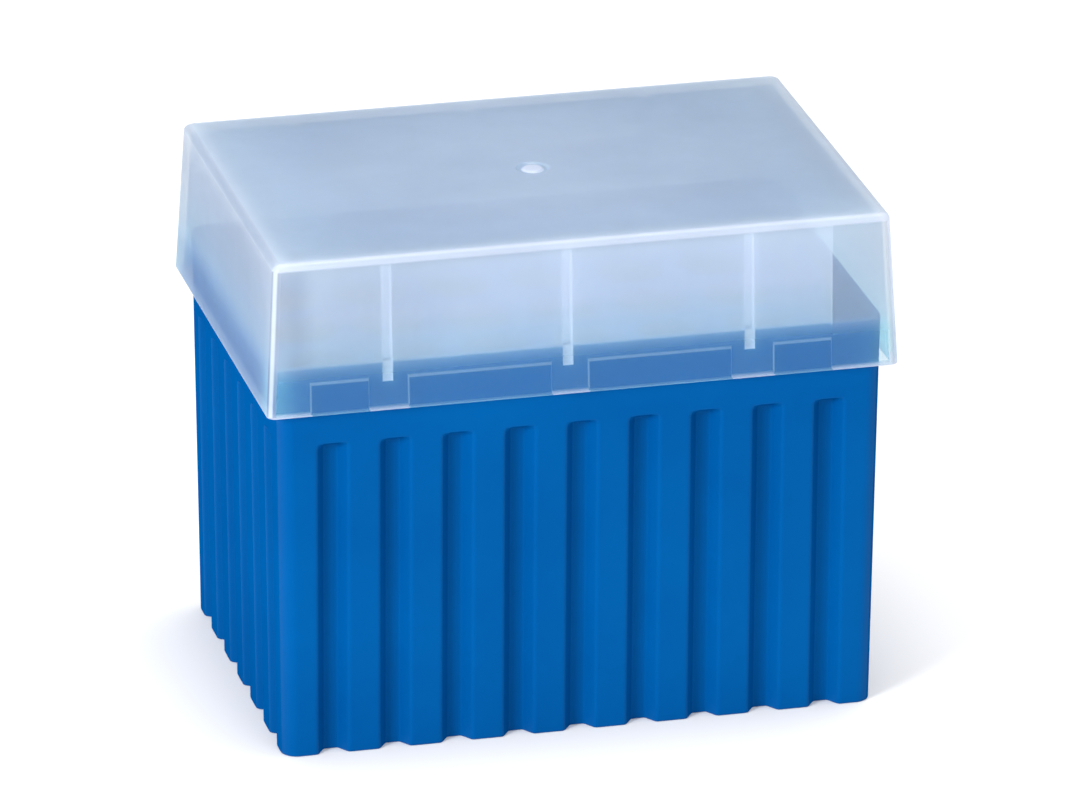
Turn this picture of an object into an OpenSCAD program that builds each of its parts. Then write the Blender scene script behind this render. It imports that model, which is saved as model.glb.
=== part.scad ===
// Fluted laboratory box for standing test tubes, with a lift-out tube
// insert and a frosted lift-off lid. Millimetres, +Z up, the origin at the
// centre of the box's foot.

/* [Box] */
// Length of the box at its foot, over the columns
foot_x = 116.7; // [116.2:0.1:117.0]
// Width of the box at its foot, over the columns
foot_y = 78.1; // [77.6:0.1:78.4]
// Height of the box without its lid
rim_z = 80; // [79:0.5:80]
// How far each wall leans out for every millimetre of height
box_draft = 0.0105; // [0.006:0.0005:0.0105]
// Thickness of the box wall
box_wall = 1.5; // [1.3:0.1:1.5]
// Radius of the box's upright corners
box_corner = 3.2; // [2:0.2:4]
// Thickness of the floor
floor_t = 1.8; // [1.4:0.1:2.4]
// Height of the hollow under the floor, inside the standing rim
foot_recess = 1.4; // [0.8:0.1:1.6]

/* [Flutes] */
// Number of flutes on each long side
flutes_long = 9; // [5:2:9]
// Number of flutes on each short side
flutes_short = 6; // [2:2:6]
// Distance from one flute to the next along a long side
pitch_long = 12.15; // [11.6:0.05:12.2]
// Distance from one flute to the next along a short side
pitch_short = 11.8; // [11.4:0.05:11.8]
// Width of a flute at the wall's face
flute_mouth = 6.1; // [5:0.1:6.4]
// Width of a flute at its floor
flute_floor = 2.7; // [2:0.1:3.4]
// Depth of a flute
flute_depth = 2.5; // [1.5:0.1:2.5]
// Height at which the flutes stop under the plain collar
flute_top = 64.3; // [60:0.1:64.3]
// Height of the ledge inside the collar that carries the insert
ledge_z = 66; // [66:0.1:66.5]

/* [Insert] */
// Length of the upper tube plate
plate_x = 114.4; // [113:0.1:114.6]
// Width of the upper tube plate
plate_y = 75.8; // [74.5:0.1:76.0]
// Length of the lower tube plate
low_x = 107.8; // [104:0.1:108]
// Width of the lower tube plate
low_y = 69.2; // [66:0.1:69.4]
// Thickness of both plates
plate_t = 2.4; // [2:0.1:3]
// Height of the lower plate's underside
low_z = 6; // [5:0.5:8]
// Number of wells along the rack
wells_x = 6; // [4:2:6]
// Number of wells across the rack
wells_y = 4; // [2:2:4]
// Distance between wells, centre to centre
well_pitch = 17.5; // [17:0.1:17.6]
// Diameter of a well in the upper plate
well_d = 13.8; // [12.6:0.1:14]
// Diameter of the seat hole that a tube's round end drops into
seat_d = 8; // [6:0.5:9]
// Diameter of the posts between the plates
post_d = 6; // [5:0.5:6.5]
// Diameter of the holes that the posts' ends are pressed into
tenon_hole_d = 4; // [3:0.5:4]
// How much wider each post's end is than its hole
tenon_bite = 0.08; // [0.04:0.01:0.1]
// Width of the two lifting tabs
tab_w = 20; // [14:1:26]
// Height of the two lifting tabs above the plate
tab_h = 9; // [6:0.5:10]

/* [Lid] */
// Length of the lid over its top
lid_top_x = 120; // [119.8:0.1:120.4]
// Width of the lid over its top
lid_top_y = 81.4; // [81.2:0.1:81.8]
// Height of the lid's top
lid_top_z = 101.2; // [100:0.2:104]
// Height of the lid's lower edge
lid_edge_z = 71; // [70.5:0.1:72]
// How much each side of the lid leans out from its top to its lower edge
lid_lean = 1.65; // [1.6:0.05:2]
// Thickness of the lid's sides
lid_wall = 1.45; // [1.2:0.05:1.45]
// Thickness of the lid's top
lid_top_t = 1.5; // [1.2:0.1:2]
// Radius of the round along the lid's top edge
lid_round = 1.2; // [0.8:0.1:2]
// Radius of the lid's upright corners
lid_corner = 1.6; // [1.4:0.1:3]
// Radius of the corners inside the lid
lid_in_corner = 0.5; // [0.3:0.1:1]
// Width of the stop ribs inside the lid's long sides
rib_w = 2; // [1.4:0.1:3]
// Depth of a stop rib above the box's rim
rib_d = 1.5; // [1.2:0.1:1.8]
// Distance of a rib's lower end above the lid's edge
rib_end = 5.1; // [3:0.1:7]
// Depth of the thinned windows along the lid's lower edge
window_d = 0.5; // [0.2:0.1:0.6]
// Height of the thinned windows
window_h = 6; // [4:0.5:8]
// Diameter of the round moulding mark on the lid's top
gate_d = 6.5; // [4:0.5:8]

/* [Hidden] */

RIB_X = [-38.1, -3.1, 32.5];
WINDOWS = [[-53.1, -41.9], [-34.2, -6.4], [0.8, 28.8], [37.1, 48.5]];

post_x = well_pitch * (wells_x / 2 - 1);
post_y = well_pitch * (wells_y / 2 - 1);
flank_turn = atan2(flute_depth, (flute_mouth - flute_floor) / 2);
wall_shift = box_wall * tan(flank_turn / 2);

function box_hx(z) = foot_x / 2 + box_draft * z;
function box_hy(z) = foot_y / 2 + box_draft * z;
function lid_hx(z) = lid_top_x / 2 + lid_lean * (lid_top_z - z) / (lid_top_z - lid_edge_z);
function lid_hy(z) = lid_top_y / 2 + lid_lean * (lid_top_z - z) / (lid_top_z - lid_edge_z);

// A quarter turn of corner points about (cx, cy), from angle a
function arc(cx, cy, r, a, n) = [for (i = [0:n]) [cx + r * cos(a + 90 * i / n), cy + r * sin(a + 90 * i / n)]];

function rrect(hx, hy, r, n = 6) = concat(
    arc(-hx + r, -hy + r, r, 180, n), arc(hx - r, -hy + r, r, 270, n),
    arc(hx - r, hy - r, r, 0, n), arc(-hx + r, hy - r, r, 90, n));

// The flutes of one side, met while walking along +X with the box on the left
function flutes(count, pitch, face, mouth, floor_w) = [for (i = [0:count - 1], p = [
    [-mouth / 2, 0], [-floor_w / 2, flute_depth], [floor_w / 2, flute_depth], [mouth / 2, 0]])
    [(i - (count - 1) / 2) * pitch + p[0], face + p[1]]];

function turn(pts, a) = [for (p = pts) [p[0] * cos(a) - p[1] * sin(a), p[0] * sin(a) + p[1] * cos(a)]];

// The fluted outline, or the same outline one wall thickness further in
function fluted(hx, hy, r, grow, n = 6) =
    let (m = flute_mouth + 2 * grow, f = flute_floor + 2 * grow)
    concat(
        arc(-hx + r, -hy + r, r, 180, n), flutes(flutes_long, pitch_long, -hy, m, f),
        arc(hx - r, -hy + r, r, 270, n), turn(flutes(flutes_short, pitch_short, -hx, m, f), 90),
        arc(hx - r, hy - r, r, 0, n), turn(flutes(flutes_long, pitch_long, -hy, m, f), 180),
        arc(-hx + r, hy - r, r, 90, n), turn(flutes(flutes_short, pitch_short, -hx, m, f), 270));

// A closed skin over rings of points, each given as [height, points]
module loft(rings) {
    n = len(rings[0][1]);
    k = len(rings);
    polyhedron(
        points = [for (r = rings, p = r[1]) [p[0], p[1], r[0]]],
        faces = concat([[for (i = [0:n - 1]) i]], [[for (i = [n - 1:-1:0]) (k - 1) * n + i]],
            [for (j = [0:k - 2], i = [0:n - 1])
                [j * n + i, (j + 1) * n + i, (j + 1) * n + (i + 1) % n, j * n + (i + 1) % n]]),
        convexity = 12);
}

// A tapered prism from z0 to z1 over a list of points given at z0
module taper(z0, z1, sx, sy, pts) {
    translate([0, 0, z0]) linear_extrude(height = z1 - z0, scale = [sx, sy], slices = 1) polygon(pts);
}

function lid_ring(z, inset, r) = [z, rrect(lid_hx(z) - inset, lid_hy(z) - inset, r)];

module base_shell() {
    r_in = box_corner - box_wall;
    floor_z = foot_recess + floor_t;
    color([0.02, 0.41, 0.71]) difference() {
        union() {
            taper(0, flute_top, box_hx(flute_top) / box_hx(0), box_hy(flute_top) / box_hy(0),
                fluted(box_hx(0), box_hy(0), box_corner, 0));
            taper(flute_top, rim_z, box_hx(rim_z) / box_hx(flute_top), box_hy(rim_z) / box_hy(flute_top),
                rrect(box_hx(flute_top), box_hy(flute_top), box_corner));
        }
        // tube space, down to the floor
        taper(floor_z, ledge_z + 0.5,
            (box_hx(ledge_z + 0.5) - box_wall) / (box_hx(floor_z) - box_wall),
            (box_hy(ledge_z + 0.5) - box_wall) / (box_hy(floor_z) - box_wall),
            fluted(box_hx(floor_z) - box_wall, box_hy(floor_z) - box_wall, r_in, wall_shift));
        // plain collar above the ledge
        taper(ledge_z, rim_z + 1,
            (box_hx(rim_z + 1) - box_wall) / (box_hx(ledge_z) - box_wall),
            (box_hy(rim_z + 1) - box_wall) / (box_hy(ledge_z) - box_wall),
            rrect(box_hx(ledge_z) - box_wall, box_hy(ledge_z) - box_wall, r_in));
        // hollow under the floor, inside the standing rim
        translate([0, 0, -1]) linear_extrude(height = 1 + foot_recess)
            polygon(fluted(box_hx(0) - box_wall, box_hy(0) - box_wall, r_in, wall_shift));
    }
}

module wells(z, d) {
    for (i = [0:wells_x - 1], j = [0:wells_y - 1])
        translate([(i - (wells_x - 1) / 2) * well_pitch, (j - (wells_y - 1) / 2) * well_pitch, z - 1])
            cylinder(h = plate_t + 2, d = d, $fn = 48);
}

module post_holes(z) {
    for (x = [-1, 1], y = [-1, 1]) translate([x * post_x, y * post_y, z - 1])
        cylinder(h = plate_t + 2, d = tenon_hole_d, $fn = 32);
}

module tab() {
    rotate([90, 0, 90]) linear_extrude(height = 1.6) polygon(concat(
        [[-tab_w / 2, -0.4], [tab_w / 2, -0.4]],
        arc(tab_w / 2 - 3, tab_h - 3, 3, 0, 5), arc(-tab_w / 2 + 3, tab_h - 3, 3, 90, 5)));
}

module upper_plate() {
    color([0.04, 0.45, 0.74]) difference() {
        union() {
            translate([0, 0, ledge_z]) linear_extrude(height = plate_t)
                polygon(rrect(plate_x / 2, plate_y / 2, 1.6));
            translate([plate_x / 2 - 2.4, 0, ledge_z + plate_t]) tab();
            translate([-plate_x / 2 + 0.8, 0, ledge_z + plate_t]) tab();
        }
        wells(ledge_z, well_d);
        post_holes(ledge_z);
    }
}

module lower_plate() {
    color([0.04, 0.45, 0.74]) difference() {
        translate([0, 0, low_z]) linear_extrude(height = plate_t)
            polygon(rrect(low_x / 2, low_y / 2, 1.6));
        wells(low_z, seat_d);
        post_holes(low_z);
    }
}

// One post, with an end pressed into each plate
module post(x, y) {
    color([0.04, 0.45, 0.74]) translate([x, y, 0]) {
        translate([0, 0, low_z + plate_t])
            cylinder(h = ledge_z - low_z - plate_t, d = post_d, $fn = 48);
        translate([0, 0, low_z + 0.2])
            cylinder(h = ledge_z - low_z + plate_t - 0.4, d = tenon_hole_d + tenon_bite, $fn = 32);
    }
}

module post_front_left() { post(-post_x, -post_y); }
module post_front_right() { post(post_x, -post_y); }
module post_back_left() { post(-post_x, post_y); }
module post_back_right() { post(post_x, post_y); }

// One long side's rib, thin beside the box's rim and deep above it, so that
// its step stands on the rim
module rib(x) {
    wy = function (z) lid_hy(z) - lid_wall;
    beside = box_hy(rim_z) + 0.13;
    z0 = lid_edge_z + rib_end;
    z1 = lid_top_z - lid_top_t + 0.3;
    translate([x - rib_w / 2, 0, 0]) rotate([90, 0, 90]) linear_extrude(height = rib_w) polygon([
        [-wy(z0) - 0.6, z0], [-beside, z0], [-beside, rim_z], [-wy(rim_z) + rib_d, rim_z],
        [-wy(z1) + rib_d, z1], [-wy(z1) - 0.6, z1]]);
}

module window(x0, x1) {
    wy = function (z) lid_hy(z) - lid_wall;
    z0 = lid_edge_z - 1;
    z1 = lid_edge_z + window_h;
    translate([x0, 0, 0]) rotate([90, 0, 90]) linear_extrude(height = x1 - x0) polygon([
        [-wy(z0) - window_d, z0], [-wy(z0) + 0.8, z0], [-wy(z1) + 0.8, z1], [-wy(z1) - window_d, z1]]);
}

module lid() {
    zi = lid_top_z - lid_top_t;
    zb = lid_edge_z - 1;
    color([0.72, 0.82, 0.93, 0.6]) difference() {
        union() {
            difference() {
                loft(concat([lid_ring(lid_edge_z, 0, lid_corner)], [for (t = [0:30:90])
                    lid_ring(lid_top_z - lid_round * (1 - sin(t)), lid_round * (1 - cos(t)), lid_corner)]));
                loft([lid_ring(zb, lid_wall, lid_in_corner), lid_ring(zi, lid_wall, lid_in_corner)]);
            }
            for (x = RIB_X, s = [0, 1]) mirror([0, s, 0]) rib(x);
        }
        for (w = WINDOWS, s = [0, 1]) mirror([0, s, 0]) window(w[0], w[1]);
        // round moulding mark with a low button at its middle
        translate([0, 0, lid_top_z - 0.4]) difference() {
            cylinder(h = 1, d = gate_d, $fn = 40);
            translate([0, 0, -1]) cylinder(h = 1.35, d = gate_d * 0.42, $fn = 32);
        }
    }
}

base_shell();
upper_plate();
lower_plate();
post_front_left();
post_front_right();
post_back_left();
post_back_right();
lid();
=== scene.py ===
import math
import random

import bmesh
import bpy
from mathutils import Matrix, Vector


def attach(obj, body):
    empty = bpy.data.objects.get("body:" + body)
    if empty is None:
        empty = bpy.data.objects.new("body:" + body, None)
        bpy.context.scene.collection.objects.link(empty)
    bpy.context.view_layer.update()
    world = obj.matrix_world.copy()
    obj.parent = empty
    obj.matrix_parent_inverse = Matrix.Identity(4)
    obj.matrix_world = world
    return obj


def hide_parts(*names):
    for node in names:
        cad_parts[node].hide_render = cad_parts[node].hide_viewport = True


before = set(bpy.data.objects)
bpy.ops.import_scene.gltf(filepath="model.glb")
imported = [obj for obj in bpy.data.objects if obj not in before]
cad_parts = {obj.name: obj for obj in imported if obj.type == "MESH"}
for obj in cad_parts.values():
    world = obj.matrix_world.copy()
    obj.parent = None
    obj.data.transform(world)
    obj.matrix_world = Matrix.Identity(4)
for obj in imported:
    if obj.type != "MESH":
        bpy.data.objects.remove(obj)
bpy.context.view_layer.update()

random.seed(7)
MM = 0.001
scene = bpy.context.scene
scene.view_settings.view_transform = "Standard"
scene.view_settings.look = "None"
scene.view_settings.exposure = 0.0
scene.view_settings.gamma = 1.0

# ---------------------------------------------------------------- the object's sizes, in millimetres, as part.scad has them
FOOT_X, FOOT_Y, RIM_Z, DRAFT = 116.7, 78.1, 80.0, 0.0105
WALL, CORNER, FLOOR_Z, RECESS = 1.5, 3.2, 3.2, 1.4
N_LONG, N_SHORT, P_LONG, P_SHORT = 9, 6, 12.15, 11.8
MOUTH, FLOOR_W, DEPTH, FLUTE_TOP, LEDGE = 6.1, 2.7, 2.5, 64.3, 66.0
LID_X, LID_Y, LID_TOP, LID_EDGE, LEAN = 120.0, 81.4, 101.2, 71.0, 1.65
LID_WALL, LID_ROUND, LID_CORNER, LID_IN = 1.45, 1.2, 1.6, 0.5
RIB_X = (-38.1, -3.1, 32.5)
WINDOWS = ((-53.1, -41.9), (-34.2, -6.4), (0.8, 28.8), (37.1, 48.5))
LOW_Z, PLATE_T, PITCH, WELLS_X, WELLS_Y = 6.0, 2.4, 17.5, 6, 4


def hx(z):
    return FOOT_X / 2 + DRAFT * z


def hy(z):
    return FOOT_Y / 2 + DRAFT * z


def lx(z):
    return LID_X / 2 + LEAN * (LID_TOP - z) / (LID_TOP - LID_EDGE)


def ly(z):
    return LID_Y / 2 + LEAN * (LID_TOP - z) / (LID_TOP - LID_EDGE)


# ---------------------------------------------------------------- mesh helpers
def new_object(name, verts, faces, smooth=True):
    me = bpy.data.meshes.new(name)
    me.from_pydata([(x * MM, y * MM, z * MM) for x, y, z in verts], [], faces)
    me.validate(clean_customdata=False)
    me.update()
    for p in me.polygons:
        p.use_smooth = smooth
    ob = bpy.data.objects.new(name, me)
    scene.collection.objects.link(ob)
    return ob


def loft(rings, first_cap=True, last_cap=True):
    """Vertices and faces of a skin over rings of equal length, each counter-clockwise seen from its outside end."""
    n = len(rings[0])
    verts = [p for r in rings for p in r]
    faces = []
    for k in range(len(rings) - 1):
        a, b = k * n, (k + 1) * n
        for i in range(n):
            j = (i + 1) % n
            faces.append((a + i, a + j, b + j, b + i))
    if first_cap:
        faces.append(tuple(reversed(range(n))))
    if last_cap:
        faces.append(tuple(range((len(rings) - 1) * n, len(rings) * n)))
    return verts, faces


def fillet(points, radii, segs, lead=0.14):
    """An open polyline with its inner corners rounded, and a point just before and after each round so that flats shade flat."""
    out = [points[0]]
    for k in range(1, len(points) - 1):
        p, a, b = Vector(points[k]), Vector(points[k - 1]), Vector(points[k + 1])
        u, v = (a - p).normalized(), (b - p).normalized()
        half = u.angle(v) / 2
        t = radii[k - 1] / math.tan(half)
        t = min(t, 0.46 * (a - p).length, 0.46 * (b - p).length)
        r = t * math.tan(half)
        c = p + (u + v).normalized() * (r / math.sin(half))
        s, e = p + u * t, p + v * t
        a0, a1 = math.atan2(s.y - c.y, s.x - c.x), math.atan2(e.y - c.y, e.x - c.x)
        d = (a1 - a0 + math.pi) % (2 * math.pi) - math.pi
        out.append(tuple(s + u * min(lead, 0.3 * ((a - p).length - t))))
        for i in range(segs + 1):
            w = a0 + d * i / segs
            out.append((c.x + r * math.cos(w), c.y + r * math.sin(w)))
        out.append(tuple(e + v * min(lead, 0.3 * ((b - p).length - t))))
    out.append(points[-1])
    return out


def arc(cx, cy, r, a0, n):
    return [(cx + r * math.cos(math.radians(a0 + 90 * i / n)), cy + r * math.sin(math.radians(a0 + 90 * i / n))) for i in range(n + 1)]


# ---------------------------------------------------------------- the fluted box
def flute_profile(mouth, floor_w, r_mouth, r_floor):
    pts = [(-mouth / 2 - 1.6, 0), (-mouth / 2, 0), (-floor_w / 2, DEPTH), (floor_w / 2, DEPTH), (mouth / 2, 0), (mouth / 2 + 1.6, 0)]
    return fillet(pts, (r_mouth, r_floor, r_floor, r_mouth), 4)[1:-1]


TURN = math.atan2(DEPTH, (MOUTH - FLOOR_W) / 2)
SHIFT = WALL * math.tan(TURN / 2)
OUT_P = flute_profile(MOUTH, FLOOR_W, 0.95, 0.7)
IN_P = flute_profile(MOUTH + 2 * SHIFT, FLOOR_W + 2 * SHIFT, 0.25, 1.6)


def box_ring(z, inset, g, prof, corner):
    """One ring of the box's skin: g is how much of the flutes' depth shows there."""
    ax, ay = hx(z) - inset, hy(z) - inset
    r = corner
    ring = []

    def side(count, pitch, half, turn):
        pts = []
        for i in range(count):
            c = (i - (count - 1) / 2) * pitch
            pts += [(c + u, -half + v * g) for u, v in prof]
        ca, sa = math.cos(math.radians(turn)), math.sin(math.radians(turn))
        return [(round(x * ca - y * sa, 7), round(x * sa + y * ca, 7)) for x, y in pts]

    ring += arc(-ax + r, -ay + r, r, 180, 10) + side(N_LONG, P_LONG, ay, 0)
    ring += arc(ax - r, -ay + r, r, 270, 10) + side(N_SHORT, P_SHORT, ax, 90)
    ring += arc(ax - r, ay - r, r, 0, 10) + side(N_LONG, P_LONG, ay, 180)
    ring += arc(-ax + r, ay - r, r, 90, 10) + side(N_SHORT, P_SHORT, ax, 270)
    return [(x, y, z) for x, y in ring]


def make_box():
    r_in = CORNER - WALL
    rows = []

    def out(z, inset, g=1.0):
        rows.append(box_ring(z, inset, g, OUT_P, CORNER - inset * 0.9))

    def inn(z, inset, g=1.0):
        rows.append(box_ring(z, inset, g, IN_P, r_in))

    # hollow under the floor, then the standing rim
    inn(RECESS, WALL + 0.35)
    inn(RECESS - 0.05, WALL + 0.12)
    inn(RECESS - 0.2, WALL)
    inn(0.4, WALL)
    inn(0.12, WALL - 0.05)
    inn(0.0, WALL - 0.22)
    out(0.0, 0.34)
    out(0.04, 0.18)
    out(0.14, 0.05)
    out(0.32, 0.0)
    for z in (0.6, 16, 32, 48, 60, 62.2):
        out(z, 0.0)
    z0, z1 = FLUTE_TOP - 1.5, FLUTE_TOP + 0.1
    for k in range(11):
        t = k / 10
        # a short round, a steep slope, a short round
        g = 1 - (3 * t * t - 2 * t ** 3)
        out(z0 + (z1 - z0) * (t ** 0.9), 0.0, g)
    for z in (FLUTE_TOP + 0.4, 70, 76, RIM_Z - 0.75):
        out(z, 0.0, 0.0)
    for a in (0, 22.5, 45, 67.5, 90):
        s, c = math.sin(math.radians(a)), math.cos(math.radians(a))
        out(RIM_Z - 0.5 * (1 - s), 0.5 * (1 - c), 0.0)
    for a in (90, 67.5, 45, 22.5, 0):
        s, c = math.sin(math.radians(a)), math.cos(math.radians(a))
        inn(RIM_Z - 0.5 * (1 - s), WALL - 0.5 * (1 - c), 0.0)
    for z in (RIM_Z - 0.75, 74, LEDGE + 0.5):
        inn(z, WALL, 0.0)
    for dz, g in ((0.22, 0.0), (0.08, 0.02), (0.0, 0.07), (-0.015, 0.5), (-0.03, 0.88), (-0.08, 0.96), (-0.25, 1.0), (-0.6, 1.0)):
        inn(LEDGE + dz, WALL, g)
    for z in (45, 25, FLOOR_Z + 1.0):
        inn(z, WALL)
    for a in (0, 30, 60, 90):
        s, c = math.sin(math.radians(a)), math.cos(math.radians(a))
        inn(FLOOR_Z + 0.6 * (1 - s), WALL + 0.6 * (1 - c))
    # rings run outwards and up, over the rim and down the inside
    n = len(rows[0])
    verts = [p for r in rows for p in r]
    faces = []
    for k in range(len(rows) - 1):
        a, b = k * n, (k + 1) * n
        for i in range(n):
            j = (i + 1) % n
            faces.append((a + i, a + j, b + j, b + i))
    faces.append(tuple(reversed(range(n))))
    faces.append(tuple(range((len(rows) - 1) * n, len(rows) * n)))
    return new_object("box_moulding", verts, faces)


# ---------------------------------------------------------------- the lid
def step_cols(edges):
    """Column positions along a long side, doubled close to each edge of a rib or window."""
    cols = set()
    for e in edges:
        for d in (-0.16, -0.06, 0.06, 0.16):
            cols.add(round(e + d, 4))
    for c in RIB_X:
        for d in (-1.25, -1.05, -0.98, -0.85, -0.6, -0.3, 0.0, 0.3, 0.6, 0.85, 0.98, 1.05, 1.25):
            cols.add(round(c + d, 4))
    for d in (0.3, 0.45, 0.9):
        cols.add(round(WINDOWS[-1][1] + d, 4))
    for d in (-2.1, -1.1, 0.9, 1.6, 2.6):
        cols.add(round(WINDOWS[0][0] - d, 4))
    for x in range(-54, 55, 6):
        if all(abs(x - c) > 0.8 for c in cols):
            cols.add(float(x))
    return sorted(cols)


LID_COLS = step_cols([e for w in WINDOWS for e in w])


def smooth(t):
    t = min(max(t, 0.0), 1.0)
    return t * t * (3 - 2 * t)


def lid_relief(x, z):
    """How far the inside face of a long wall stands in from the plain wall at x and z."""
    r = 0.0
    beside = ly(z) - LID_WALL - (hy(RIM_Z) + 0.13)
    for c in RIB_X:
        u = abs(x - c)
        if u < 1.06:
            across = math.sqrt(max(0.0, 1 - max(0.0, (u - 0.55) / 0.5) ** 2))
            foot = z - (LID_EDGE + 5.1)
            if foot > 0:
                up = math.sqrt(max(0.0, 1 - max(0.0, 1 - foot / 0.8) ** 2))
                d = beside + (1.5 - beside) * smooth((z - RIM_Z) / 0.08)
                r = max(r, d * across * up)
    for a, b in WINDOWS:
        if a - 0.1 < x < b + 0.1 and z < LID_EDGE + 6.1:
            t = smooth((x - a + 0.06) / 0.12) * smooth((b + 0.06 - x) / 0.12) * smooth((LID_EDGE + 6.06 - z) / 0.12)
            r -= 0.5 * t
    return r


def lid_ring(z, inset, corner, inside=False):
    ax, ay = lx(z) - inset, ly(z) - inset
    r = corner
    cols = LID_COLS

    def rel(x):
        return lid_relief(x, z) if inside else 0.0

    ring = arc(-ax + r, -ay + r, r, 180, 8)
    ring += [(x, -ay + rel(x)) for x in cols]
    ring += arc(ax - r, -ay + r, r, 270, 8)
    ring += [(ax, y) for y in SIDE_ROWS]
    ring += arc(ax - r, ay - r, r, 0, 8)
    ring += [(x, ay - rel(x)) for x in reversed(cols)]
    ring += arc(-ax + r, ay - r, r, 90, 8)
    ring += [(-ax, y) for y in reversed(SIDE_ROWS)]
    return [(x, y, z) for x, y in ring]


SIDE_ROWS = (-36.2, -36.0, -24, -12, 0, 12, 24, 36.0, 36.2)
PANEL = (WINDOWS[0][0], WINDOWS[-1][1])


def in_window(x, z):
    t = 0.0
    for a, b in WINDOWS:
        t = max(t, smooth((x - a + 0.06) / 0.12) * smooth((b + 0.06 - x) / 0.12))
    return t * smooth((LID_EDGE + 6.06 - z) / 0.12)


def blend(a, b, t):
    return tuple(p + (q - p) * t for p, q in zip(a, b))


def milk(x, y, z, inside):
    """The plastic's look from one face: how white its scatter is, where lower values mix in a painted blue that stands
    in for light thrown from the coloured box, how much of it there is, how much of that reflects, and a painted shade
    that scales its brightness.

    Thick ribs, steps and corners are whiter. The skirt near the coloured box and the windows get the painted blue. The
    top's edges, the upper short sides, the left end, the corner strips and the right strip get painted shade.
    """
    depth = LID_WALL + 2.2 if inside else 0.1
    if z > LID_TOP - (2.35 if inside else LID_ROUND):
        near = smooth(1.3 - math.hypot(x / 58, y / 38))
        # painted shade: the top's scatter gets darker within about 12 mm of its edges
        painted_edge_shade = 1 - 0.09 * smooth(1 - (min(lx(z) - abs(x), ly(z) - abs(y)) - 1.5) / 11)
        if inside:
            return 0.88, 0.75, 0.06 + 0.04 * near, painted_edge_shade
        return 0.88, 0.84, 0.13 + 0.19 * near, painted_edge_shade
    low = smooth((RIM_Z + 1.2 - z) / 2.4) if not inside else smooth((RIM_Z + 0.3 - z) / 0.6)
    if abs(y) < ly(z) - depth:
        # the short sides: painted shade makes the scatter darker upwards, and the whiteness falls downwards into a
        # painted blue from the box near the rim
        up = smooth((z - RIM_Z) / (LID_TOP - RIM_Z))
        m = (0.85 + 0.15 * up, 0.68, 0.04, 1 - 0.11 * up)
        return blend(m, (0.5, 0.6, 0.08, 1), low) if inside else blend(m, (0.5, 0.73, 0.08, 1), low)
    # the long walls: painted shade darkens the scatter towards the left end, on the right strip and on the left corner
    # strip; the skirt in front of the box's collar and the windows get a painted blue from the box
    painted_left_shade = 1 - 0.12 * smooth((-16 - x) / 26)
    m = blend((0.95, 0.75, 0.22, painted_left_shade), (0.1, 0.25, 0.13, 1), low) if inside else blend((0.95, 0.5, 0.22, painted_left_shade), (0.1, 0.22, 0.13, 1), low)
    m = blend(m, (0.9, 0.44, 0.1, 0.92), smooth((x - PANEL[1] + 0.06) / 0.12) * (1 - low))
    m = blend(m, (0.95, 0.6, 0.08, 0.86) if inside else (0.95, 0.42, 0.08, 0.86), smooth((PANEL[0] + 2.0 - x) / 5.5) * (1 - low))
    m = blend(m, (0.0, 0.12, 0.15, 1) if inside else (0.0, 0.16, 0.15, 1), in_window(x, z))
    if inside:
        for c in RIB_X:
            if abs(x - c) < 1.0 and z > LID_EDGE + 5.15:
                m = (1.0, 0.95, 0.5, 1)
        if abs(x - PANEL[1] - 0.1) < 0.1 and z > RIM_Z - 0.3:
            m = (1.0, 0.85, 0.4, 1)
        if z < LID_EDGE + 6.2:
            for a, b in WINDOWS:
                if abs(x - a) < 0.1 or abs(x - b) < 0.1 or (a - 0.1 < x < b + 0.1 and abs(z - (LID_EDGE + 6.0)) < 0.1):
                    m = (0.8, max(m[1], 0.5), 0.28, 1)
    return m


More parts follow.
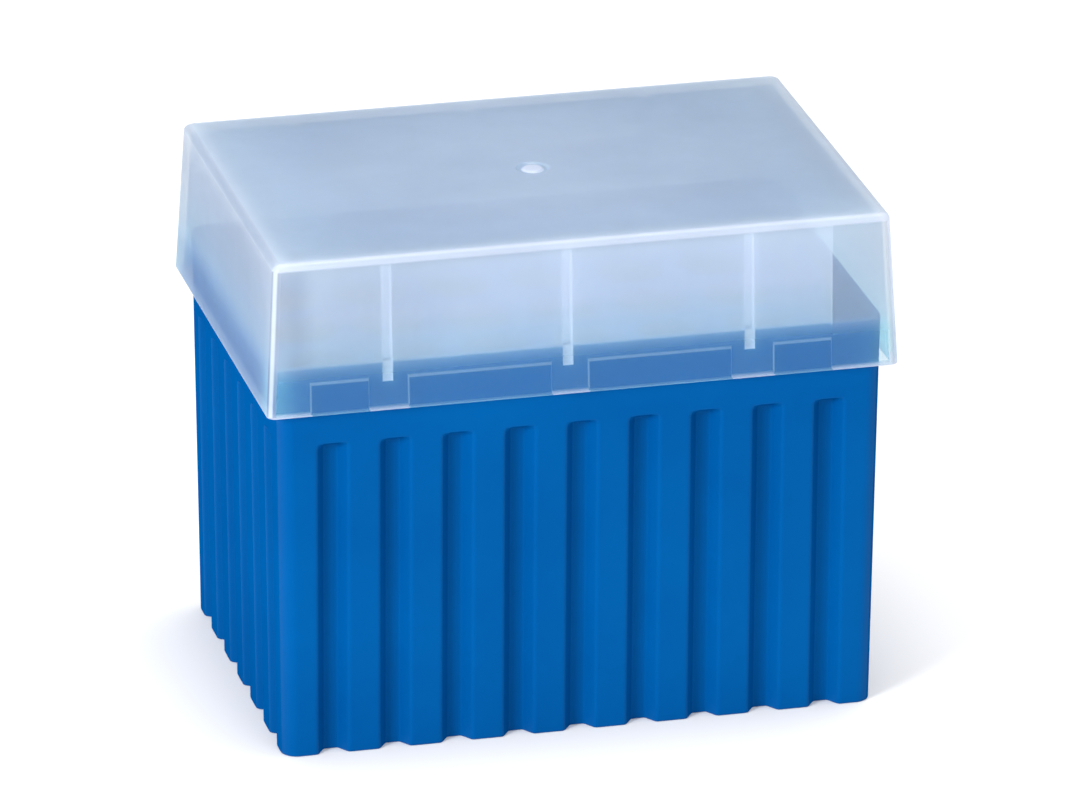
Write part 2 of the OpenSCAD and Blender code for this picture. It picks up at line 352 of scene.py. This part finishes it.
def make_lid():
    rows, tags = [], []
    zi = LID_TOP - 1.5

    def add(ring, tag):
        rows.append(ring)
        tags.append(tag)

    # inside of the top, from its middle outwards, then down the inside of the walls
    ceiling = lid_ring(zi, LID_WALL + 3.2, LID_IN, True)
    for k in (26, 16, 10, 6, 3):
        add([(x * (1 - k / lx(z)), y * (1 - k / ly(z)), z) for x, y, z in ceiling], "in")
    add(ceiling, "in")
    for k in (1.55, 1.35, 1.0):
        add(lid_ring(zi, LID_WALL + k, LID_IN, True), "in")
    for a in (90, 67.5, 45, 22.5, 0):
        s, c = math.sin(math.radians(a)), math.cos(math.radians(a))
        add(lid_ring(zi - 0.7 * (1 - s), LID_WALL + 0.7 * (1 - c), LID_IN, True), "in")
    for z in (98.0, 92, 86, 81.5, 80.35, RIM_Z + 0.1, RIM_Z + 0.05, RIM_Z, RIM_Z - 0.25, 79.0, 78.0, LID_EDGE + 6.3, LID_EDGE + 6.08, LID_EDGE + 6.0, LID_EDGE + 5.92,
              LID_EDGE + 5.6, LID_EDGE + 5.35, LID_EDGE + 5.2, LID_EDGE + 5.12, LID_EDGE + 5.02, LID_EDGE + 3, LID_EDGE + 1.3, LID_EDGE + 0.6):
        add(lid_ring(z, LID_WALL, LID_IN, True), "in")
    for a in (0, 30, 60, 90):
        s, c = math.sin(math.radians(a)), math.cos(math.radians(a))
        add(lid_ring(LID_EDGE + 0.25 * (1 - s), LID_WALL - 0.25 * (1 - c), LID_IN + 0.2 * s, True), "edge")
    for a in (90, 60, 30, 0):
        s, c = math.sin(math.radians(a)), math.cos(math.radians(a))
        add(lid_ring(LID_EDGE + 0.3 * (1 - s), 0.3 * (1 - c), LID_CORNER), "edge")
    for z in (LID_EDGE + 0.45, LID_EDGE + 0.6, LID_EDGE + 5.9, LID_EDGE + 6.1, 80, 90, LID_TOP - LID_ROUND - 0.45, LID_TOP - LID_ROUND - 0.3):
        add(lid_ring(z, 0.0, LID_CORNER), "out")
    for a in (0, 15, 30, 45, 60, 75, 90):
        s, c = math.sin(math.radians(a)), math.cos(math.radians(a))
        add(lid_ring(LID_TOP - LID_ROUND * (1 - s), LID_ROUND * (1 - c), LID_CORNER), "round")
    top = lid_ring(LID_TOP, LID_ROUND + 0.25, LID_CORNER)
    add(top, "out")
    # across the top to the round moulding mark
    for k in (3, 6, 9, 12, 18, 26):
        add([(x * (1 - k / lx(z)), y * (1 - k / ly(z)), z) for x, y, z in top], "out")
    for r, z, t in ((3.7, 0.0, "out"), (3.45, 0.0, "out"), (3.3, -0.03, "mark"), (3.16, -0.13, "mark"), (3.05, -0.28, "mark"), (2.9, -0.37, "mark"), (2.75, -0.4, "mark"), (2.3, -0.4, "mark"),
                    (2.12, -0.37, "core"), (1.98, -0.27, "core"), (1.89, -0.14, "core"), (1.77, -0.05, "core"), (1.5, -0.02, "core"), (0.9, -0.015, "core")):
        ring = []
        for x, y, _ in top:
            w = math.atan2(y, x)
            ring.append((r * math.cos(w), r * math.sin(w), LID_TOP + z))
        add(ring, t)
    n = len(rows[0])
    verts = [p for r in rows for p in r]
    faces, kinds = [], []
    for k in range(len(rows) - 1):
        a, b = k * n, (k + 1) * n
        for i in range(n):
            j = (i + 1) % n
            faces.append((a + i, a + j, b + j, b + i))
            kinds.append(1 if tags[k] == "in" and tags[k + 1] in ("in", "edge") else 0)
    faces.append(tuple(reversed(range(n))))
    kinds.append(1)
    faces.append(tuple(range((len(rows) - 1) * n, len(rows) * n)))
    kinds.append(0)
    ob = new_object("lid_moulding", verts, faces)
    me = ob.data
    att = me.color_attributes.new("scatter_and_painted_light", "FLOAT_COLOR", "POINT")
    values = []
    for row, tag in zip(rows, tags):
        for i, (x, y, z) in enumerate(row):
            if tag == "in":
                m = milk(x, y, z, True)
            elif tag == "out":
                m = milk(x, y, z, False)
                # painted shade on the strip beside each vertical corner (alpha 0.86); the corner line itself gets the
                # most scatter
                if abs(x) > lx(z) - 0.75 and abs(y) > ly(z) - 0.75:
                    m = (1.0, 0.85, 0.4, 1)
                elif abs(x) > lx(z) - 1.35 and abs(y) > ly(z) - 1.35:
                    m = (1.0, 0.55, 0.05, 0.86)
            elif tag == "edge":
                # the bottom edge: a little painted shade (alpha 0.96), and a painted blue in the windows
                m = (1.0, 0.72, 0.26, 0.96)
                if abs(y) > ly(z) - 3:
                    m = blend(m, (0.25, 0.34, 0.14, 1), in_window(x, LID_EDGE))
            else:
                # painted shade on the top round: alpha 0.88 along the short sides and corners, 0.98 along the long
                # faces
                m = {"round": (1.0, 0.82, 0.34, 0.98) if abs(y) > ly(z) - 1.3 else (0.95, 0.78, 0.14, 0.88), "mark": (0.82, 0.8, 0.32, 1), "core": (1.0, 0.9, 0.5, 1)}[tag]
            values += m
    att.data.foreach_set("color", values)
    me.polygons.foreach_set("material_index", kinds)
    return ob


# ---------------------------------------------------------------- the insert
def plate_curve(name, half_x, half_y, corner, z0, thick, holes, edge):
    """A flat moulding with round holes, every edge softened."""
    cu = bpy.data.curves.new(name, "CURVE")
    cu.dimensions = "2D"
    cu.fill_mode = "BOTH"
    cu.extrude = (thick / 2 - edge) * MM
    cu.bevel_depth = edge * MM
    cu.bevel_resolution = 2
    cu.offset = -edge * MM
    outline = arc(-half_x + corner, -half_y + corner, corner, 180, 8) + arc(half_x - corner, -half_y + corner, corner, 270, 8)
    outline += arc(half_x - corner, half_y - corner, corner, 0, 8) + arc(-half_x + corner, half_y - corner, corner, 90, 8)
    loops = [outline]
    for x, y, r, n in holes:
        loops.append([(x + r * math.cos(2 * math.pi * k / n), y + r * math.sin(2 * math.pi * k / n)) for k in range(n)])
    for pts in loops:
        sp = cu.splines.new("POLY")
        sp.points.add(len(pts) - 1)
        for p, (x, y) in zip(sp.points, pts):
            p.co = (x * MM, y * MM, 0, 1)
        sp.use_cyclic_u = True
    tmp = bpy.data.objects.new(name + "_curve", cu)
    scene.collection.objects.link(tmp)
    dg = bpy.context.evaluated_depsgraph_get()
    me = bpy.data.meshes.new_from_object(tmp.evaluated_get(dg), depsgraph=dg)
    bpy.data.objects.remove(tmp)
    me.name = name
    bm = bmesh.new()
    bm.from_mesh(me)
    bmesh.ops.remove_doubles(bm, verts=bm.verts, dist=1e-6)
    bmesh.ops.translate(bm, verts=bm.verts, vec=(0, 0, (z0 + thick / 2) * MM))
    bmesh.ops.recalc_face_normals(bm, faces=bm.faces)
    return bm


def bm_object(bm, name, angle=35):
    me = bpy.data.meshes.new(name)
    bm.to_mesh(me)
    bm.free()
    for p in me.polygons:
        p.use_smooth = True
    me.set_sharp_from_angle(angle=math.radians(angle))
    ob = bpy.data.objects.new(name, me)
    scene.collection.objects.link(ob)
    return ob


def well_spots():
    return [((i - (WELLS_X - 1) / 2) * PITCH, (j - (WELLS_Y - 1) / 2) * PITCH) for i in range(WELLS_X) for j in range(WELLS_Y)]


def lathe(bm, cx, cy, profile, n):
    """A turned solid round a vertical line at (cx, cy), from (radius, height) points; both ends are closed."""
    rings = []
    for r, z in profile:
        rings.append([bm.verts.new(((cx + r * math.cos(2 * math.pi * k / n)) * MM, (cy + r * math.sin(2 * math.pi * k / n)) * MM, z * MM)) for k in range(n)])
    for a, b in zip(rings, rings[1:]):
        for k in range(n):
            bm.faces.new((a[k], a[(k + 1) % n], b[(k + 1) % n], b[k]))
    bm.faces.new(list(reversed(rings[0])))
    bm.faces.new(rings[-1])


PX, PY = PITCH * (WELLS_X / 2 - 1), PITCH * (WELLS_Y / 2 - 1)


def rounded_bar(bm, x0, x1, outline):
    """An upright tab: an outline in Y and Z given the thickness x0 to x1, with softened edges."""
    n = len(outline)
    cy = sum(p[0] for p in outline) / n
    cz = sum(p[1] for p in outline) / n
    e = 0.35
    rows = []
    for x, k in ((x0, e), (x0 + 0.1, 0.12), (x0 + e, 0.0), (x1 - e, 0.0), (x1 - 0.1, 0.12), (x1, e)):
        ring = []
        for y, z in outline:
            d = math.hypot(y - cy, z - cz)
            ring.append(bm.verts.new((x * MM, (y - (y - cy) / d * k) * MM, (z - (z - cz) / d * k) * MM)))
        rows.append(ring)
    for a, b in zip(rows, rows[1:]):
        for i in range(n):
            bm.faces.new((a[i], a[(i + 1) % n], b[(i + 1) % n], b[i]))
    bm.faces.new(list(reversed(rows[0])))
    bm.faces.new(rows[-1])


def make_upper_plate():
    z0 = LEDGE
    holes = [(x, y, 6.9, 64) for x, y in well_spots()] + [(sx * PX, sy * PY, 2.0, 32) for sx in (-1, 1) for sy in (-1, 1)]
    bm = plate_curve("tube_plate", 57.2, 37.9, 1.6, z0, PLATE_T, holes, 0.3)
    for x0 in (57.2 - 2.4, -57.2 + 0.8):
        top = z0 + PLATE_T + 9
        outline = [(-10, z0 + PLATE_T - 0.4), (10, z0 + PLATE_T - 0.4)] + [(7 + 3 * math.cos(math.radians(a)), top - 3 + 3 * math.sin(math.radians(a))) for a in range(0, 91, 15)]
        outline += [(-7 + 3 * math.cos(math.radians(a)), top - 3 + 3 * math.sin(math.radians(a))) for a in range(90, 181, 15)]
        rounded_bar(bm, x0, x0 + 1.6, outline)
    return bm_object(bm, "tube_plate")


def make_lower_plate():
    holes = [(x, y, 4.0, 48) for x, y in well_spots()] + [(sx * PX, sy * PY, 2.0, 32) for sx in (-1, 1) for sy in (-1, 1)]
    bm = plate_curve("seat_plate", 53.9, 34.6, 1.6, LOW_Z, PLATE_T, holes, 0.3)
    return bm_object(bm, "seat_plate")


def make_post(name, sx, sy):
    bm = bmesh.new()
    z0, z1 = LOW_Z + PLATE_T, LEDGE
    prof = [(1.75, LOW_Z + 0.2), (2.0, LOW_Z + 0.4), (2.02, z0 + 0.01), (2.6, z0 + 0.01), (2.9, z0 + 0.1), (3.0, z0 + 0.4), (3.0, z0 + 1.2)]
    prof += [(2.85, z0 + 6), (2.78, (z0 + z1) / 2), (2.85, z1 - 6)]
    prof += [(3.0, z1 - 1.2), (3.0, z1 - 0.4), (2.9, z1 - 0.1), (2.6, z1 - 0.01), (2.02, z1 - 0.01), (2.0, z1 + PLATE_T - 0.4), (1.75, z1 + PLATE_T - 0.2)]
    lathe(bm, sx * PX, sy * PY, prof, 40)
    return bm_object(bm, name, 50)


# ---------------------------------------------------------------- materials
def material(name):
    m = bpy.data.materials.new(name)
    m.use_nodes = True
    nt = m.node_tree
    for n in list(nt.nodes):
        nt.nodes.remove(n)
    out = nt.nodes.new("ShaderNodeOutputMaterial")
    return m, nt, out


def noise(nt, coord, scale, detail=3.0, rough=0.55):
    n = nt.nodes.new("ShaderNodeTexNoise")
    n.inputs["Scale"].default_value = scale
    n.inputs["Detail"].default_value = detail
    n.inputs["Roughness"].default_value = rough
    nt.links.new(coord, n.inputs["Vector"])
    return n


def ramp(nt, fac, stops):
    r = nt.nodes.new("ShaderNodeValToRGB")
    els = r.color_ramp.elements
    els[0].position, els[0].color = stops[0][0], stops[0][1]
    els[1].position, els[1].color = stops[-1][0], stops[-1][1]
    for p, c in stops[1:-1]:
        e = els.new(p)
        e.color = c
    nt.links.new(fac, r.inputs["Fac"])
    return r


def moulded(name, dark, base, light, rough, sss=0.0, bump=0.05, scale=1.0):
    """Satin injection-moulded polypropylene: faint flow marks, a fine grain and uneven gloss."""
    m, nt, out = material(name)
    tc = nt.nodes.new("ShaderNodeTexCoord")
    co = tc.outputs["Object"]
    flow = noise(nt, co, 28 * scale, 4.0, 0.6)
    col = ramp(nt, flow.outputs["Fac"], [(0.30, dark), (0.52, base), (0.74, light)])
    grain = noise(nt, co, 2600, 2.0, 0.5)
    b = nt.nodes.new("ShaderNodeBump")
    b.inputs["Strength"].default_value = bump
    b.inputs["Distance"].default_value = 0.00006
    nt.links.new(grain.outputs["Fac"], b.inputs["Height"])
    gloss = noise(nt, co, 90 * scale, 3.0, 0.6)
    mr = nt.nodes.new("ShaderNodeMapRange")
    mr.inputs["To Min"].default_value = rough - 0.05
    mr.inputs["To Max"].default_value = rough + 0.07
    nt.links.new(gloss.outputs["Fac"], mr.inputs["Value"])
    p = nt.nodes.new("ShaderNodeBsdfPrincipled")
    p.inputs["IOR"].default_value = 1.36
    # the matt grain scatters the sheen away at a glancing angle
    lw = nt.nodes.new("ShaderNodeLayerWeight")
    lw.inputs["Blend"].default_value = 0.5
    sp = nt.nodes.new("ShaderNodeMapRange")
    sp.inputs["From Min"].default_value = 0.2
    sp.inputs["From Max"].default_value = 0.6
    sp.inputs["To Min"].default_value = 0.2
    sp.inputs["To Max"].default_value = 0.0
    nt.links.new(lw.outputs["Facing"], sp.inputs["Value"])
    nt.links.new(sp.outputs["Result"], p.inputs["Specular IOR Level"])
    p.inputs["Specular Tint"].default_value = (0.03, 0.42, 1.0, 1)
    p.inputs["Subsurface Weight"].default_value = sss
    p.inputs["Subsurface Radius"].default_value = (0.6, 0.8, 1.0)
    p.inputs["Subsurface Scale"].default_value = 0.0012
    nt.links.new(col.outputs["Color"], p.inputs["Base Color"])
    nt.links.new(mr.outputs["Result"], p.inputs["Roughness"])
    nt.links.new(b.outputs["Normal"], p.inputs["Normal"])
    nt.links.new(p.outputs["BSDF"], out.inputs["Surface"])
    return m


def tint(nt, fac, painted_shade, low, high):
    # mixes the low and high colours by fac and scales the result by a painted shade
    mx = nt.nodes.new("ShaderNodeMix")
    mx.data_type = "RGBA"
    nt.links.new(fac, mx.inputs[0])
    mx.inputs[6].default_value = low
    mx.inputs[7].default_value = high
    sc = nt.nodes.new("ShaderNodeVectorMath")
    sc.operation = "SCALE"
    nt.links.new(mx.outputs[2], sc.inputs[0])
    nt.links.new(painted_shade, sc.inputs["Scale"])
    return sc.outputs["Vector"]


def lid_plastic(name, shine, rough=0.14):
    """Translucent polypropylene: partly clear, partly a milky scatter that lights up from either side, with a soft
    sheen outside.

    The scatter_and_painted_light attribute holds how white the scatter is (red; lower values mix in a painted blue for
    light thrown from the box), the amount of it (green), the part of it that reflects (blue) and a painted shade that
    scales the scatter's colour (alpha).
    """
    m, nt, out = material(name)
    tc = nt.nodes.new("ShaderNodeTexCoord")
    co = tc.outputs["Object"]
    at = nt.nodes.new("ShaderNodeAttribute")
    at.attribute_name = "scatter_and_painted_light"
    sep = nt.nodes.new("ShaderNodeSeparateColor")
    nt.links.new(at.outputs["Color"], sep.inputs["Color"])
    # slow clouds in the milkiness, as the melt leaves them
    cloud = noise(nt, co, 45, 4.0, 0.6)
    vary = nt.nodes.new("ShaderNodeMapRange")
    vary.inputs["From Min"].default_value = 0.3
    vary.inputs["From Max"].default_value = 0.7
    vary.inputs["To Min"].default_value = 0.95
    vary.inputs["To Max"].default_value = 1.05
    nt.links.new(cloud.outputs["Fac"], vary.inputs["Value"])
    milk = nt.nodes.new("ShaderNodeMath")
    milk.operation = "MULTIPLY"
    milk.use_clamp = True
    nt.links.new(sep.outputs["Green"], milk.inputs[0])
    nt.links.new(vary.outputs["Result"], milk.inputs[1])
    df = nt.nodes.new("ShaderNodeBsdfDiffuse")
    # the scatter's colour: red mixes between a painted blue, standing in for light thrown from the blue box, and a pale
    # white; alpha scales it down as painted shade
    nt.links.new(tint(nt, sep.outputs["Red"], at.outputs["Alpha"], (0.36, 0.86, 1.0, 1), (0.755, 0.82, 0.94, 1)), df.inputs["Color"])
    tl = nt.nodes.new("ShaderNodeBsdfTranslucent")
    nt.links.new(tint(nt, sep.outputs["Red"], at.outputs["Alpha"], (0.44, 0.93, 1.0, 1), (0.855, 0.88, 0.95, 1)), tl.inputs["Color"])
    both = nt.nodes.new("ShaderNodeMixShader")
    nt.links.new(sep.outputs["Blue"], both.inputs[0])
    nt.links.new(tl.outputs[0], both.inputs[1])
    nt.links.new(df.outputs[0], both.inputs[2])
    tr = nt.nodes.new("ShaderNodeBsdfTransparent")
    tr.inputs["Color"].default_value = (0.95, 0.975, 0.99, 1)
    mix = nt.nodes.new("ShaderNodeMixShader")
    nt.links.new(milk.outputs["Value"], mix.inputs[0])
    nt.links.new(tr.outputs[0], mix.inputs[1])
    nt.links.new(both.outputs[0], mix.inputs[2])
    if not shine:
        nt.links.new(mix.outputs[0], out.inputs["Surface"])
        return m
    grain = noise(nt, co, 1500, 2.0, 0.5)
    b = nt.nodes.new("ShaderNodeBump")
    b.inputs["Strength"].default_value = 0.08
    b.inputs["Distance"].default_value = 0.00006
    nt.links.new(grain.outputs["Fac"], b.inputs["Height"])
    gl = nt.nodes.new("ShaderNodeBsdfGlossy")
    gl.inputs["Color"].default_value = (0.96, 0.98, 1.0, 1)
    gl.inputs["Roughness"].default_value = rough
    nt.links.new(b.outputs["Normal"], gl.inputs["Normal"])
    lw = nt.nodes.new("ShaderNodeLayerWeight")
    lw.inputs["Blend"].default_value = 0.5
    pw = nt.nodes.new("ShaderNodeMath")
    pw.operation = "POWER"
    pw.inputs[1].default_value = 5.0
    nt.links.new(lw.outputs["Facing"], pw.inputs[0])
    ma = nt.nodes.new("ShaderNodeMath")
    ma.operation = "MULTIPLY_ADD"
    ma.inputs[1].default_value = 0.25
    ma.inputs[2].default_value = 0.02
    nt.links.new(pw.outputs["Value"], ma.inputs[0])
    top = nt.nodes.new("ShaderNodeMixShader")
    nt.links.new(ma.outputs["Value"], top.inputs[0])
    nt.links.new(mix.outputs[0], top.inputs[1])
    nt.links.new(gl.outputs[0], top.inputs[2])
    nt.links.new(top.outputs[0], out.inputs["Surface"])
    return m


blue = moulded("blue_polypropylene", (0.0, 0.068, 0.25, 1), (0.0, 0.075, 0.268, 1), (0.0, 0.082, 0.286, 1), 0.42)
tray = moulded("tray_polypropylene", (0.0, 0.12, 0.37, 1), (0.0, 0.132, 0.40, 1), (0.002, 0.146, 0.43, 1), 0.45, scale=1.4)
lid_out = lid_plastic("lid_outside", True)
lid_in = lid_plastic("lid_inside", False)

# ---------------------------------------------------------------- the pieces
box_piece = make_box()
box_piece.data.materials.append(blue)
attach(box_piece, "base")
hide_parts("base_shell")

lid_piece = make_lid()
lid_piece.data.materials.append(lid_out)
lid_piece.data.materials.append(lid_in)
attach(lid_piece, "lid")
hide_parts("lid")

up = make_upper_plate()
low = make_lower_plate()
for ob, node in ((up, "upper_plate"), (low, "lower_plate")):
    ob.data.materials.append(tray)
    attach(ob, "insert")
    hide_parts(node)
for name, sx, sy in (("front_left", -1, -1), ("front_right", 1, -1), ("back_left", -1, 1), ("back_right", 1, 1)):
    ob = make_post("pillar_" + name, sx, sy)
    ob.data.materials.append(tray)
    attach(ob, "insert")
    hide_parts("post_" + name)

# ---------------------------------------------------------------- floor, light and camera
fm, fnt, fout = material("pale_floor")
fp = fnt.nodes.new("ShaderNodeBsdfPrincipled")
fp.inputs["Base Color"].default_value = (0.8, 0.8, 0.8, 1)
fp.inputs["Roughness"].default_value = 0.9
fp.inputs["Specular IOR Level"].default_value = 0.1
fp.inputs["Emission Color"].default_value = (1, 1, 1, 1)
fp.inputs["Emission Strength"].default_value = 0.07
fnt.links.new(fp.outputs["BSDF"], fout.inputs["Surface"])
s = 6.0
floor = bpy.data.objects.new("floor", bpy.data.meshes.new("floor"))
floor.data.from_pydata([(-s, -s, 0), (s, -s, 0), (s, s, 0), (-s, s, 0)], [], [(0, 1, 2, 3)])
floor.data.materials.append(fm)
scene.collection.objects.link(floor)

world = bpy.data.worlds.new("studio")
scene.world = world
world.use_nodes = True
bg = world.node_tree.nodes.get("Background") or world.node_tree.nodes.new("ShaderNodeBackground")
bg.inputs["Color"].default_value = (1, 1, 1, 1)
bg.inputs["Strength"].default_value = 0.6


def area(name, loc, aim, size, power, color=(1, 1, 1)):
    li = bpy.data.lights.new(name, "AREA")
    li.shape = "DISK"
    li.size = size
    li.energy = power
    li.color = color
    ob = bpy.data.objects.new(name, li)
    ob.location = loc
    d = Vector(aim) - Vector(loc)
    ob.rotation_euler = d.to_track_quat("-Z", "Y").to_euler()
    scene.collection.objects.link(ob)
    return ob


area("key", (-1.05, -0.75, 0.55), (0, 0, 0.05), 0.45, 17)
area("fill", (0.3, -1.4, 0.7), (0, 0, 0.05), 0.9, 4)
area("top", (0.1, 0.05, 1.3), (0, 0, 0.08), 0.8, 12)

az, el, roll = math.radians(-14.17), math.radians(21.69), math.radians(0.22)
back = Vector((math.sin(az) * math.cos(el), -math.cos(az) * math.cos(el), math.sin(el)))
xa = Vector((0, 0, 1)).cross(back).normalized()
ya = back.cross(xa)
x2 = xa * math.cos(roll) + ya * math.sin(roll)
y2 = -xa * math.sin(roll) + ya * math.cos(roll)
tx, ty, dist, focal = -1.8, -48.6, 1844.0, 9405.0
pos = (x2 * -tx + y2 * -ty + back * dist) * MM
cam = bpy.data.cameras.new("camera")
cam.sensor_width = 36.0
cam.sensor_fit = "HORIZONTAL"
cam.lens = focal / 1080 * 36.0
cam.clip_start, cam.clip_end = 0.05, 30
co = bpy.data.objects.new("camera", cam)
co.matrix_world = Matrix(((x2.x, y2.x, back.x, pos.x), (x2.y, y2.y, back.y, pos.y), (x2.z, y2.z, back.z, pos.z), (0, 0, 0, 1)))
scene.collection.objects.link(co)
scene.camera = co
